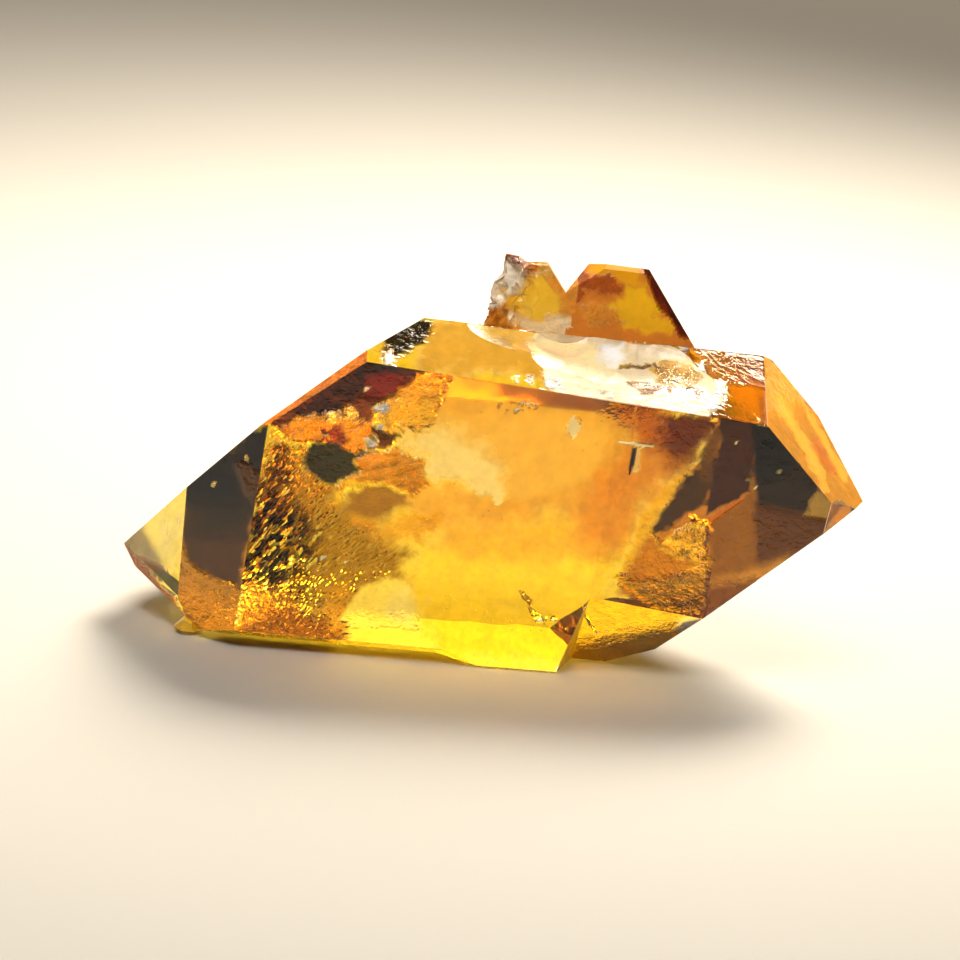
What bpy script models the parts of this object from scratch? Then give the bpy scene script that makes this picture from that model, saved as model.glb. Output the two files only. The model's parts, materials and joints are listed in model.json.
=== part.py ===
"""A doubly terminated citrine crystal with two small side crystals, resting on its broken base.

Units are metres and +Z is up. The crystal's long c axis runs almost along +X, its widest prism face
looks towards -Y, and the broken flat it rests on is at z = 0. The crystal is built round its heart,
with the c axis along X, and is then set down on that flat.
"""
import math

import bmesh
import bpy
from mathutils import Matrix, Vector

MM = 0.001

# ---------------------------------------------------------------- driving dimensions (mm, degrees)
# Quartz faces are placed by the angle round the c axis (0 faces -Y, 90 faces up), the angle from
# the +X end of the axis (prism 90, end faces near 51.8 and 128.2) and the distance from the heart.

PRISM_FACES = (
    (-0.7, 91.0, 9.6),      # wide front face
    (59.5, 88.9, 14.6),     # sloping shoulder that carries the break
    (120.0, 91.0, 10.75),   # upper back, where the side crystals stand
    (180.0, 90.0, 10.0),    # back
)
LEFT_END_FACES = (
    (0.0, 128.7, 20.0),
    (60.3, 127.7, 19.8),
    (120.5, 130.0, 13.4),
    (-118.0, 128.6, 24.6),
    (-96.5, 111.0, 19.7),   # broken underside of the left end
    (-1.2, 139.7, 22.9),    # small bright facet at the tip
    (-16.6, 141.8, 25.0),   # small facet under the tip
)
RIGHT_END_FACES = (
    (59.1, 51.9, 23.6),
    (120.2, 51.5, 21.8),
    (180.0, 51.3, 14.2),
    (-120.0, 51.8, 16.9),
    (-69.8, 47.9, 18.8),
    (-5.7, 47.4, 25.0),     # small corner facet at the tip
)
UNDERSIDE_FACES = (
    (-90.0, 87.6, 12.8),    # the broken flat it rests on
    (-90.0, 61.7, 16.0),    # broken underside rising to the right
)
REST_LEAN = 90.0 - UNDERSIDE_FACES[0][1]    # tilt that brings that flat level
REST_HEIGHT = UNDERSIDE_FACES[0][2]         # height of the heart above it
REST_PLACE = (0.01, 0.06)                    # puts the middle of the footprint box on the origin
ROUGH_BLOCK = 120.0         # block the crystals are cut from

# Side crystals: middle, then faces as (heading, pitch, distance). Heading turns from -Y towards +X.
STUB_MIDDLE = (0.4, -0.7, 16.6)
STUB_FACES = (
    (0.0, 14.0, 2.05),      # front
    (90.0, 39.0, 2.75),     # smooth right side
    (-104.0, 2.0, 3.35),    # steep left side
    (160.0, 76.0, 3.08),    # broken top
    (180.0, 14.0, 2.0),     # back
    (-132.0, 10.0, 2.6),    # back left
    (-45.0, 12.0, 2.25),    # split corner, front left
)
STUB_TOE_MIDDLE = (3.4, -1.4, 14.6)
STUB_TOE_FACES = (
    (0.0, 14.0, 1.65),
    (90.0, 42.0, 1.6),
    (-90.0, 40.0, 2.2),
    (180.0, 14.0, 2.2),
)
# Shell-shaped breaks on the stub: centre and radius of each.
STUB_SHELLS = (
    ((-4.6, -5.2, 19.2), 4.1),
    ((-4.6, -6.2, 15.6), 4.5),
    ((-1.2, -6.6, 18.4), 4.65),
    ((-1.2, -7.3, 15.9), 4.7),
    ((0.6, -1.0, 23.2), 3.75),
)
POINT_MIDDLE = (8.2, -0.4, 16.8)
POINT_FACES = (
    (0.0, 12.0, 2.35),      # amber front
    (0.0, 55.0, 3.65),      # thin bright bevel over it
    (90.0, 38.5, 3.45),     # narrow right side
    (-106.0, 29.0, 4.25),   # left shoulder
    (-102.0, 3.0, 4.7),     # left side
    (180.0, 72.0, 3.0),     # top, falling away to the back
    (180.0, 16.0, 2.6),     # back
    (-72.0, 52.0, 4.2),     # chamfer on the left shoulder
    (140.0, 30.0, 3.9),     # back right corner
)
SIDE_ROOT = 8.5             # height above the heart where the side crystals root

# Flake broken from the shoulder at the side crystals' foot: round hollows as
# (x, up the slope, height of the centre above the shoulder, half sizes along x, slope and normal).
SHOULDER_FOOT = (0.0, -9.5, 11.6)
HOLLOWS = (
    (8.2, 3.8, 1.4, 10.6, 4.9, 2.4),
    (0.5, 6.3, 1.5, 7.6, 3.8, 2.3),
    (13.8, 2.7, 1.3, 4.4, 3.4, 2.1),
    (4.0, 2.0, 1.2, 3.8, 2.4, 1.7),
    (9.6, 4.7, 1.2, 6.2, 3.3, 2.5),
    (3.2, 5.8, 1.2, 4.0, 2.6, 2.4),
)

# Flat chips off the foot of the front face: (azimuth, polar, distance, from x, to x, rake), where
# rake is how far the ends of the chip slope along x for each millimetre outwards.
UNDERCUT = (-66.8, 88.9, 14.5, -40.0, -3.8, 3.0)
CORNER_CHIP = (-32.0, 93.0, 10.84, 8.6, 40.0, -0.45)
CHIP_REACH = 30.0

# Knob left of the base.
KNOB_MIDDLE = (-24.4, -6.0, -13.25)
KNOB_FACES = (
    (0.0, 10.0, 0.55),
    (60.0, 20.0, 0.75),
    (-60.0, 5.0, 0.55),
    (180.0, 10.0, 1.0),
    (-100.0, 40.0, 0.45),
    (30.0, 62.0, 0.55),
)
KNOB_ROOT = -13.65

CITRINE = (0.80, 0.42, 0.05, 1.0)
QUARTZ_IOR = 1.55
POLISH_ROUGHNESS = 0.08


# ---------------------------------------------------------------- helpers
def collection(name):
    made = bpy.data.collections.new(name)
    bpy.context.scene.collection.children.link(made)
    return made


def citrine_material():
    """Clear golden quartz."""
    material = bpy.data.materials.new("citrine")
    material.use_nodes = True
    shader = material.node_tree.nodes["Principled BSDF"]
    shader.inputs["Base Color"].default_value = CITRINE
    shader.inputs["Roughness"].default_value = POLISH_ROUGHNESS
    shader.inputs["Metallic"].default_value = 0.0
    shader.inputs["IOR"].default_value = QUARTZ_IOR
    shader.inputs["Transmission Weight"].default_value = 0.9
    return material


def quartz_normal(azimuth, polar):
    """Outward direction of a face from its angle round the c axis and from the +X end."""
    a = math.radians(azimuth)
    p = math.radians(polar)
    return Vector((math.cos(p), -math.sin(p) * math.cos(a), math.sin(p) * math.sin(a)))


def compass_normal(heading, pitch):
    """Outward direction of a face from its heading (0 is -Y, 90 is +X) and its upward tilt."""
    h = math.radians(heading)
    p = math.radians(pitch)
    return Vector((math.cos(p) * math.sin(h), -math.cos(p) * math.cos(h), math.sin(p)))


def mesh_object(name, bm, group):
    """Set a solid down from the crystal's own frame and make an object of it."""
    lean = Matrix.Rotation(math.radians(REST_LEAN), 4, "Y")
    place = Matrix.Translation(Vector((*REST_PLACE, REST_HEIGHT)) * MM)
    bmesh.ops.transform(bm, matrix=place @ lean, verts=bm.verts[:])
    mesh = bpy.data.meshes.new(name)
    bm.to_mesh(mesh)
    bm.free()
    made = bpy.data.objects.new(name, mesh)
    group.objects.link(made)
    return made


def cut_flat(bm, point, normal):
    """Slice the solid with a plane, drop what lies outside and close the cut with one face."""
    everything = bm.verts[:] + bm.edges[:] + bm.faces[:]
    cut = bmesh.ops.bisect_plane(bm, geom=everything, dist=1e-9, plane_co=point,
                                 plane_no=normal, clear_outer=True)
    rim = [item for item in cut["geom_cut"] if isinstance(item, bmesh.types.BMEdge)]
    if rim:
        bmesh.ops.edgeloop_fill(bm, edges=rim)


def faceted_solid(name, middle, planes, group):
    """A block cut to flat faces, each a direction and a distance from the middle."""
    bm = bmesh.new()
    bmesh.ops.create_cube(bm, size=ROUGH_BLOCK * MM)
    centre = Vector(middle) * MM
    bmesh.ops.translate(bm, verts=bm.verts[:], vec=centre)
    for normal, distance in planes:
        cut_flat(bm, centre + normal * distance * MM, normal)
    bmesh.ops.recalc_face_normals(bm, faces=bm.faces[:])
    return mesh_object(name, bm, group)


def side_crystal(name, middle, faces, depth, group):
    """A small crystal whose faces are given by compass heading and pitch."""
    planes = [(compass_normal(heading, pitch), distance) for heading, pitch, distance in faces]
    planes.append((Vector((0.0, 0.0, -1.0)), middle[2] - depth))
    return faceted_solid(name, middle, planes, group)


def hollow_cutter(name, hollow, group):
    """A round lump that scoops one shell-shaped hollow out of the shoulder."""
    along, up_slope, lift, half_x, half_slope, half_normal = hollow
    normal = quartz_normal(PRISM_FACES[1][0], 90.0)
    slope = normal.cross(Vector((1.0, 0.0, 0.0)))
    foot = Vector(SHOULDER_FOOT)
    centre = foot + Vector((along, 0.0, 0.0)) + slope * up_slope + normal * lift
    bm = bmesh.new()
    bmesh.ops.create_icosphere(bm, subdivisions=4, radius=1.0)
    axes = Matrix.Identity(4)
    axes.col[0] = Vector((half_x * MM, 0.0, 0.0, 0.0))
    axes.col[1] = (slope * half_slope * MM).to_4d()
    axes.col[2] = (normal * half_normal * MM).to_4d()
    axes.col[1][3] = 0.0
    axes.col[2][3] = 0.0
    axes.col[3] = (centre * MM).to_4d()
    bmesh.ops.transform(bm, matrix=axes, verts=bm.verts[:])
    bmesh.ops.recalc_face_normals(bm, faces=bm.faces[:])
    return mesh_object(name, bm, group)


def shell_cutter(name, shell, group):
    """A ball that bites one shell-shaped break out of the stub."""
    centre, radius = shell
    bm = bmesh.new()
    bmesh.ops.create_icosphere(bm, subdivisions=3, radius=radius * MM)
    bmesh.ops.translate(bm, vec=Vector(centre) * MM, verts=bm.verts[:])
    return mesh_object(name, bm, group)


def chip_cutter(name, chip, group):
    """A block with one side on the plane of a flat chip, as long as the chip."""
    azimuth, polar, distance, from_x, to_x, rake = chip
    normal = quartz_normal(azimuth, polar)
    along = (Vector((1.0, 0.0, 0.0)) - normal * normal.x).normalized()
    across = normal.cross(along)
    middle = Vector(((from_x + to_x) / 2.0, 0.0, 0.0))
    offset = distance - normal.dot(middle)
    outwards = (normal + along * rake) * CHIP_REACH
    centre = middle + normal * offset + outwards / 2.0
    bm = bmesh.new()
    bmesh.ops.create_cube(bm, size=1.0)
    frame = Matrix((along * (to_x - from_x), across * CHIP_REACH, outwards)).transposed()
    bmesh.ops.transform(bm, matrix=(frame * MM).to_4x4(), verts=bm.verts[:])
    bmesh.ops.translate(bm, vec=centre * MM, verts=bm.verts[:])
    return mesh_object(name, bm, group)


def combine(target, tool, operation):
    step = target.modifiers.new(tool.name, "BOOLEAN")
    step.operation = operation
    step.solver = "EXACT"
    step.object = tool
    return step


# ---------------------------------------------------------------- build
for old in list(bpy.data.objects):
    bpy.data.objects.remove(old, do_unlink=True)

citrine_group = collection("citrine_crystal")
tools_group = collection("cutters")

main_planes = [(quartz_normal(azimuth, polar), distance)
               for azimuth, polar, distance in PRISM_FACES + LEFT_END_FACES + RIGHT_END_FACES
               + UNDERSIDE_FACES]
crystal = faceted_solid("citrine_crystal", (0.0, 0.0, 0.0), main_planes, citrine_group)
crystal.data.materials.append(citrine_material())

chips = [chip_cutter("undercut", UNDERCUT, tools_group),
         chip_cutter("corner_chip", CORNER_CHIP, tools_group)]
growths = [side_crystal("stub_crystal", STUB_MIDDLE, STUB_FACES, SIDE_ROOT, tools_group),
           side_crystal("stub_toe", STUB_TOE_MIDDLE, STUB_TOE_FACES, SIDE_ROOT, tools_group),
           side_crystal("point_crystal", POINT_MIDDLE, POINT_FACES, SIDE_ROOT, tools_group),
           side_crystal("knob", KNOB_MIDDLE, KNOB_FACES, KNOB_ROOT, tools_group)]
hollows = [hollow_cutter("hollow_%d" % number, hollow, tools_group)
           for number, hollow in enumerate(HOLLOWS)]

shells = [shell_cutter("shell_%d" % number, shell, tools_group)
          for number, shell in enumerate(STUB_SHELLS)]

for tool in shells:
    combine(growths[0], tool, "DIFFERENCE")
for tool in chips + hollows:
    combine(crystal, tool, "DIFFERENCE")
for tool in growths:
    combine(crystal, tool, "UNION")

for tool in tools_group.objects:
    tool.hide_render = True
    tool.display_type = "WIRE"
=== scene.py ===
# %% [markdown]
# # A citrine crystal on a pale table
# Citrine is quartz that traces of iron have turned yellow. This lesson starts from the solid model of
# one crystal, and makes light do inside it what it does in the real stone: bend, turn yellow with
# depth, and scatter where the skin is broken, etched or clouded. A clear stone has almost no looks of
# its own, so most of the work goes into its skin and into what lies just under it.

# %% Load the solid crystal
import bpy
import bmesh
import json
import math
import numpy as np
from mathutils import Matrix, Vector, noise

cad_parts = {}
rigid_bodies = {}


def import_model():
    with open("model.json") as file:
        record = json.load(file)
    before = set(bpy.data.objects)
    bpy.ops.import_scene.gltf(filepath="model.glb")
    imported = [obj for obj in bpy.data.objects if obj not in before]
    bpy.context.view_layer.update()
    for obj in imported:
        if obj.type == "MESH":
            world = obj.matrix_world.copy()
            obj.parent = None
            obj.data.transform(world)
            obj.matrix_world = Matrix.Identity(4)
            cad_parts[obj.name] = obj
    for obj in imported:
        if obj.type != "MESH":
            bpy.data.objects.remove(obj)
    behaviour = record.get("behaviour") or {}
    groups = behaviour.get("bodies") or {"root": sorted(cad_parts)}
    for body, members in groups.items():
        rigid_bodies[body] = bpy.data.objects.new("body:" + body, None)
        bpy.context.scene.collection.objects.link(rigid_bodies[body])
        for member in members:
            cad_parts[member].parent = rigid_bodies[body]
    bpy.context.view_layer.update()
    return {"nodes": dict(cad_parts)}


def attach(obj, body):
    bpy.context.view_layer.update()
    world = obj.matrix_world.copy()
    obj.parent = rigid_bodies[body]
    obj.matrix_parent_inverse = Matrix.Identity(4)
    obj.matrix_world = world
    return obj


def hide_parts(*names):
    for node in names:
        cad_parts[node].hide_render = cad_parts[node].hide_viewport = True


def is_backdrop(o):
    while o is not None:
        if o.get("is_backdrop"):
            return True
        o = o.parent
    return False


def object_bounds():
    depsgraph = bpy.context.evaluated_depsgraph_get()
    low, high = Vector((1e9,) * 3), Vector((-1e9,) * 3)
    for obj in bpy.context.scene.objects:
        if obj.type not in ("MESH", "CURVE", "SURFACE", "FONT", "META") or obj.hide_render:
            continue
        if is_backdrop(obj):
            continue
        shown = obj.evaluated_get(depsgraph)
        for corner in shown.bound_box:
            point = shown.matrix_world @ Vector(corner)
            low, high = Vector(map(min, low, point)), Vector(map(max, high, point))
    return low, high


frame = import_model()

# %% [markdown]
# ## The crystal's own axes
# Quartz grows along one direction, the c axis. This crystal lies on its side, so its c axis is almost
# level. Every place below is given in millimetres from the heart of the crystal, with x along the
# c axis, y away from the front facet and z up. One matrix takes those places to the table. It is much
# easier to say "3 mm along the crystal" than to work with a stone that leans by two degrees.

# %% Crystal axes
MM = 0.001
LEAN = math.radians(2.4)
HEART = Vector((0.01, 0.06, 12.8))
TO_WORLD = Matrix.Scale(MM, 4) @ Matrix.Translation(HEART) @ Matrix.Rotation(LEAN, 4, "Y")
print("heart of the crystal:", [round(1000 * s, 1) for s in TO_WORLD.translation], "mm")

# %% [markdown]
# ## Each facet has a name
# A quartz facet is known by its direction: the azimuth round the c axis, the polar angle from it, and
# its distance from the heart. The prism faces stand at 90 degrees to the axis and the end faces at 52
# degrees. The table's own angles differ from those by up to 2 degrees on the large faces, and by more on
# the small ones. Nearly all of its numbers were fitted outside this script and pasted here rounded.
# With that table, one test tells which facet a bit of surface belongs to. What lies on no
# facet is a break: the scar where a flake came off, the two small side crystals, or the chipped foot.
# A leaning line parts the two side crystals.

# %% Name the facets
FACETS = {
    "front": [(-0.7, 91.0, 9.6)],
    "shoulder": [(59.5, 88.9, 14.6)],
    "left_end": [(0.0, 128.7, 20.0)],
    "left_tip": [(-1.2, 139.7, 22.9)],
    "upper_left": [(60.3, 127.7, 19.8)],
    "left_under": [(-118.0, 128.6, 24.6), (-96.5, 111.0, 19.7), (-16.6, 141.8, 25.0)],
    "right_end": [(59.1, 51.9, 23.6)],
    "corner_chip": [(-32.0, 93.0, 10.84)],
    "back": [(180.0, 90.0, 10.0), (120.0, 91.0, 10.75)],
    "underside": [(-90.0, 87.6, 12.8), (-90.0, 61.7, 16.0)],
    "other_ends": [(120.5, 130.0, 13.4), (120.2, 51.5, 21.8), (180.0, 51.3, 14.2), (-120.0, 51.8, 16.9),
                   (-69.8, 47.9, 18.8), (-5.7, 47.4, 25.0)],
}


def quartz_normal(azimuth, polar):
    """The direction a facet looks in, from its angles round and from the c axis, in degrees."""
    a, p = math.radians(azimuth), math.radians(polar)
    return Vector((math.cos(p), -math.sin(p) * math.cos(a), math.sin(p) * math.sin(a)))


PLANES = [(name, quartz_normal(a, p), d) for name, faces in FACETS.items() for a, p, d in faces]
# A face belongs to a facet that looks the same way and lies this near to it, in mm.
SAME_WAY = 0.999
NEAR_FACET = 0.04
# What stands this far off every facet and above the top ridge is one of the two side crystals.
OFF_FACET = 0.02
TOP_RIDGE = 8.0
STUB_END = 3.6
STUB_FOOT = 14.0
STUB_LEAN = 0.1


def facet_of(middle, normal):
    """Which named facet a face lies on, or which break it belongs to where it lies on none."""
    for name, across, away in PLANES:
        if normal.dot(across) > SAME_WAY and abs(middle.dot(across) - away) < NEAR_FACET:
            return name
    above = max(middle.dot(across) - away for name, across, away in PLANES if name != "corner_chip")
    if above > OFF_FACET and middle.z > TOP_RIDGE:
        return "stub" if middle.x < STUB_END + STUB_LEAN * (middle.z - STUB_FOOT) else "point"
    if middle.z > TOP_RIDGE:
        return "scar"
    return "breaks"


print(len(PLANES), "facets known by their angles")

# %% [markdown]
# ## A skin that can hold detail
# The solid's facets are a few big polygons, which could carry neither relief nor colour. A subdivision
# surface would round the sharp edges off. Cutting the whole mesh by three sets of parallel planes
# leaves every edge where it is and still gives a grid of small faces, the way a slicer cuts a block.
# The first cut is a part of a step in, so that no cut runs along an edge of the crystal.

# %% Cut a grid into the crystal's skin
node = frame["nodes"]["citrine_crystal"]
work = bmesh.new()
work.from_mesh(node.data)
work.transform(TO_WORLD.inverted() @ node.matrix_world)
SAME_PLANE = 0.002
bmesh.ops.dissolve_limit(work, angle_limit=SAME_PLANE, verts=work.verts, edges=work.edges)
GRID = 0.6
FIRST_CUT = 0.37
REACH = ((-31, 31), (-11, 11), (-14, 21))
for axis, (low, high) in enumerate(REACH):
    normal = Vector([1.0 if k == axis else 0.0 for k in range(3)])
    for step in range(int((high - low) / GRID)):
        place = normal * (low + (step + FIRST_CUT) * GRID)
        bmesh.ops.bisect_plane(work, geom=work.verts[:] + work.edges[:] + work.faces[:],
                               plane_co=place, plane_no=normal)
print("grid:", len(work.faces), "faces of about", GRID, "mm")

# %% [markdown]
# ## Finer where it shows
# The big front facet, the scar and the two side crystals hold the finest marks, so their faces are
# divided once more. The plain faces at the back keep the coarse grid, which saves time in the render.

# %% Divide the busy facets


def refine(names, cuts):
    """Divides the faces of the named facets further and gives back how many there were."""
    work.normal_update()
    chosen = [f for f in work.faces if facet_of(f.calc_center_median(), f.normal) in names]
    edges = list({e for f in chosen for e in f.edges})
    bmesh.ops.subdivide_edges(work, edges=edges, cuts=cuts, use_grid_fill=True)
    return len(chosen)


print("divided by three:", refine(("front", "point", "stub", "scar"), 2))
print("divided by two:", refine(("shoulder", "left_end"), 1))

# %% [markdown]
# ## Growth faces are almost flat
# A growth face of quartz looks like a mirror, but it swells and dips by a few hundredths of a
# millimetre. That is far too little to see as shape, and quite enough to bend what shows through it.
# Two sizes of noise give it: broad swells and smaller ones riding on them.

# %% Swell of the growth faces
BROAD_SWELL = (0.05, 5.0)
SMALL_SWELL = (0.015, 1.6)


def swell(p):
    """The slight unevenness of a growth face: each swell has a height and a width in mm."""
    return sum(height * noise.noise(p / width) for height, width in (BROAD_SWELL, SMALL_SWELL))


print("swell at the heart:", round(swell(Vector((0.0, -9.6, 0.0))), 3), "mm")

# %% [markdown]
# ## Ripples in the scar
# Where quartz breaks it doesn't split along a plane. The break spreads in curved waves from the point
# that was struck, like rings in water, and this is called a conchoidal fracture. A sine of the
# distance from the strike gives the rings, and noise keeps them from being perfect circles.

# %% Rings round the strike
STRIKE = Vector((1.5, -2.0, 15.5))
RING = 1.6
RING_HEIGHT = 0.012
# How far the rings sway and how uneven the break is: each has an amount and a width in mm.
RING_SWAY = (1.2, 2.2)
UNEVEN = (0.05, 1.5)


def shell_step(p):
    """Conchoidal ripples round the point where the flake was struck, in mm."""
    far = (p - STRIKE).length + RING_SWAY[0] * noise.noise(p / RING_SWAY[1])
    return RING_HEIGHT * math.sin(far * 2.0 * math.pi / RING) + UNEVEN[0] * noise.noise(p / UNEVEN[1])


print("rings are", RING, "mm apart")

# %% [markdown]
# ## Ridges on the broken stub
# One of the two side crystals has snapped. Its left half is hackly: steep little ridges run up it and
# catch the light. A folded ramp makes a row of ridges, and they fade out towards the smooth right
# half. They only go inwards, so that the crystal keeps its outline.

# %% Hackly ridges
RIDGE_DEPTH = 0.75
RIDGES_PER_MM = 1.1
RIDGE_WANDER = (0.9, 1.6)
# The ridges start at the smooth side and are deepest at the rough side, which lie at these x.
SMOOTH_SIDE, ROUGH_SIDE = 0.6, -1.2


def share(value, start, end):
    """0 at start, 1 at end, eased between."""
    t = min(1.0, max(0.0, (value - start) / (end - start)))
    return t * t * (3.0 - 2.0 * t)


def broken_ridges(p):
    """Steep hackly ridges that climb the left half of the broken stub, in mm."""
    along = p.x * 0.55 - p.z * 0.35 + RIDGE_WANDER[0] * noise.noise(p / RIDGE_WANDER[1])
    ridge = abs((along * RIDGES_PER_MM) % 1.0 - 0.5) * 2.0
    here = share(p.x - 0.25 * (p.z - 16.0), SMOOTH_SIDE, ROUGH_SIDE)
    return -RIDGE_DEPTH * here * (ridge + 0.5 * abs(noise.noise(p * 1.3)))


print("deepest ridge:", round(broken_ridges(Vector((-3.0, -2.0, 17.0))), 2), "mm")

# %% [markdown]
# ## Apply the relief
# Only points in the middle of a facet move. A point on an edge belongs to two facets, and moving it
# would blur the sharp line between them. Each facet also sinks by a few hundredths of a millimetre
# first, so that no swell rises out of the solid.

# %% Move the skin
RELIEF = {"front": (swell, 0.065), "shoulder": (swell, 0.065),
          "stub": (broken_ridges, 0.02), "scar": (shell_step, 0.05)}
work.normal_update()
shifts = {}
for v in work.verts:
    kinds = {facet_of(f.calc_center_median(), f.normal) for f in v.link_faces}
    kind = kinds.pop()
    if not kinds and kind in RELIEF:
        height, sink = RELIEF[kind]
        shifts[v] = (height(v.co) - sink) * v.normal
work.faces.index_update()
labels = [facet_of(f.calc_center_median(), f.normal) for f in work.faces]
for v, shift in shifts.items():
    v.co += shift
print("relief on", len(shifts), "points,", labels.count("front"), "faces on the front facet")

# %% [markdown]
# ## Colour zones
# Citrine is never one even yellow. It is deep amber where the iron is dense, almost clear in other
# bands, and milky where tiny bubbles are trapped. Where a facet or a crack throws the light away the
# stone looks dark, and where a crack flashes it looks bright: many zones below are painted shade and
# painted highlights of that kind. The skin of the model carries all this as a tint. A colour is what
# light keeps of itself when it crosses the skin once, so a dark zone is dark from the other side too.
# Each zone is an outline with a soft edge.
# Its points were picked, and then turned into the crystal's millimetres outside this script, so the
# lists of points below are pasted in. An image texture would be quicker, but these zones can be
# changed one by one, and they stay sharp at any size.
#
# A zone also says how frosted, how hilly and how crinkled the skin is there. Frosted skin scatters
# light the way ground glass does. The two others are fine relief that the material adds.

# %% How a zone is kept
ZONES = {}


def colour(code):
    """An sRGB hex colour as Blender's linear numbers."""
    parts = [int(code[i:i + 2], 16) / 255.0 for i in (1, 3, 5)]
    return (*(p / 12.92 if p <= 0.04045 else ((p + 0.055) / 1.055) ** 2.4 for p in parts), 1.0)


def zone(facet, code, strength, soft, rag, finish, outline):
    """Keeps a colour zone: soft is the width of its top and bottom edge and rag the raggedness of its
    outline in mm, finish is how frosted, hilly and crinkled it is, outline is in x and z."""
    low = Vector((min(x for x, z in outline), min(z for x, z in outline)))
    high = Vector((max(x for x, z in outline), max(z for x, z in outline)))
    paint = Vector((*colour(code)[:3], *finish))
    ZONES.setdefault(facet, []).append((paint, strength, soft, rag, outline, low, high))


print("amber in linear numbers:", [round(c, 3) for c in colour("#E4AC4A")[:3]])

# %% [markdown]
# ## The cloud and the glow
# The middle of the crystal is the part that everyone looks at first. Its lower half glows a clean
# yellow, because light comes up through it from the table behind. Above it hangs a cream cloud of
# bubbles too small to see one by one. Its lower left edge is sharp and wavy, and it fades out
# upwards, so each zone has its own softness above and below.

# %% Cloud and glow
# Warm ground of the cloud.
zone("front", "#D8A44C", 0.88, (2.5, 3.5), 0.8, (0.2, 0, 0),
     [(-11.4, 11.6), (-5.6, 11.9), (1.6, 12), (9.5, 11.7), (12.1, 9.1), (11.4, 4.9), (9.9, 1.7), (4.2, 0.2),
      (-1.2, 0.3), (-4.1, 2.9), (-9.1, 4.8), (-9.1, 8.5)])
# Yellow glow of the lower half.
zone("front", "#FFEE58", 0.95, (4, 1.5), 0.8, (0.06, 0, 0),
     [(-6.4, -3.4), (-1, -1.2), (4.2, -0.1), (11.3, 0.8), (10.3, -4.2), (8.8, -7.9), (8.9, -11.2),
      (-4.2, -12.9), (-4.5, -10.3), (-7, -6.5)])
# Amber band across the middle.
zone("front", "#F0C444", 0.82, (2.5, 1.4), 0.6, (0.05, 0, 0),
     [(-4.9, -1.3), (-1.1, -0.5), (4.2, 0.4), (9.9, 1.7), (9.7, -0.2), (9.1, -2.3), (3, -3.3), (-3.1, -3.7),
      (-5.5, -3.3)])
# Darker amber just under the cloud.
zone("front", "#DC9C34", 0.7, (0.3, 3.5), 0.8, (0, 0, 0.1),
     [(-8.9, 3.8), (-6.9, 2.3), (-2.9, 2.1), (-1.3, 1), (1.1, 1.3), (2.3, 0.7), (0.7, -0.2), (-2.1, -1),
      (-6.3, -1.9), (-8.3, -0.6)])
# The cloud.
zone("front", "#F4CA84", 0.9, (3, 0.25), 0.6, (0.36, 0, 0),
     [(-9.2, 5.2), (-7.6, 4.3), (-7.2, 2.9), (-6.2, 2.3), (-4.8, 2.8), (-3.4, 2.7), (-2.9, 1.6),
      (-1.4, 1.7), (-1, 0.5), (-0.3, 1.5), (1.4, 2.1), (4.1, 2.8), (7, 5.1), (7.2, 8.4), (2.7, 9.5),
      (-2.6, 8.8), (-7, 7.3), (-8.8, 6.4)])
# Its thick left lobe.
zone("front", "#FFF0C4", 0.94, (3, 0.25), 0.6, (0.52, 0, 0),
     [(-9.2, 5.2), (-7.6, 4.3), (-7.2, 2.9), (-6.2, 2.3), (-4.8, 2.8), (-3.4, 2.7), (-2.9, 1.6),
      (-1.4, 1.7), (-0.7, 0.5), (-0.5, 2.4), (-1.2, 4.4), (-4.7, 6.7), (-6.9, 7), (-8.8, 6.4)])
# Tan frost along the top edge.
zone("front", "#E8B870", 0.6, (0.3, 3), 0.6, (0.45, 0, 0),
     [(-7.6, 11.7), (1.6, 12.1), (7.7, 11.8), (12.5, 11.2), (12.7, 9.7), (7.8, 10.2), (1.8, 10.4),
      (-6.7, 10.1)])
print("front zones so far:", len(ZONES["front"]))

# %% [markdown]
# ## Hillock country
# The lower left of the front facet is etched into hundreds of slanting hillocks, each under a
# millimetre long. They are painted darkest at the left, near the end facet, as painted shade where the
# etched skin throws the light away, and they thin out to the right. Three zones inside each other give
# that fading, and the material draws the hillocks where a zone is hilly.
# A pale, frosted triangle shines at their lower right corner.

# %% Hillock country
# Hillocks fading out to the right.
zone("front", "#A88450", 0.92, (1.5, 2.5), 1, (0.05, 0.8, 0),
     [(-20, 4.5), (-20.3, 1.5), (-20.5, -8.4), (-17.6, -10.3), (-12.6, -9.6), (-7, -6.6), (-7.3, -4.2),
      (-11.8, -1.3), (-14.4, 0.5), (-16.4, 2.4), (-17.2, 3.6), (-18.5, 4.3)])
# Denser hillocks.
zone("front", "#5E4630", 0.9, (1.5, 2), 1, (0.05, 1, 0),
     [(-19.9, 4), (-20.3, 1.5), (-21.3, -3.2), (-21.2, -8.4), (-17.8, -8.7), (-15.6, -7.7), (-14.6, -5.5),
      (-15.4, -2.4), (-16.9, -0.9), (-17.7, 1.8), (-18.4, 3.8)])
# The darkest hillocks, blue-black: painted shade where the etched skin throws the light away.
zone("front", "#1C1A26", 0.95, (1.4, 1), 1.2, (0, 1, 0),
     [(-20.3, -0.6), (-20.6, -3.4), (-21.6, -6), (-21.5, -8.5), (-17.9, -8.4), (-16.3, -7.1), (-16.2, -5),
      (-16.8, -2.6), (-18.3, -0.7)])
# Brown foot of the hillocks.
zone("front", "#A0642A", 0.96, (2.2, 0.5), 1.2, (0.2, 0.2, 0.7),
     [(-21.2, -8.6), (-18.5, -8.5), (-15.3, -9.5), (-13.4, -9.9), (-12.3, -11.6), (-12.5, -12.7),
      (-20.5, -13.3)])
# Light patch between hillocks and triangle.
zone("front", "#E2B052", 0.8, (1.5, 1), 0.6, (0.1, 0.2, 0.3),
     [(-13.8, -8.2), (-12.3, -7), (-11.2, -8.9), (-11.6, -11.5), (-13.1, -11.7)])
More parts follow.
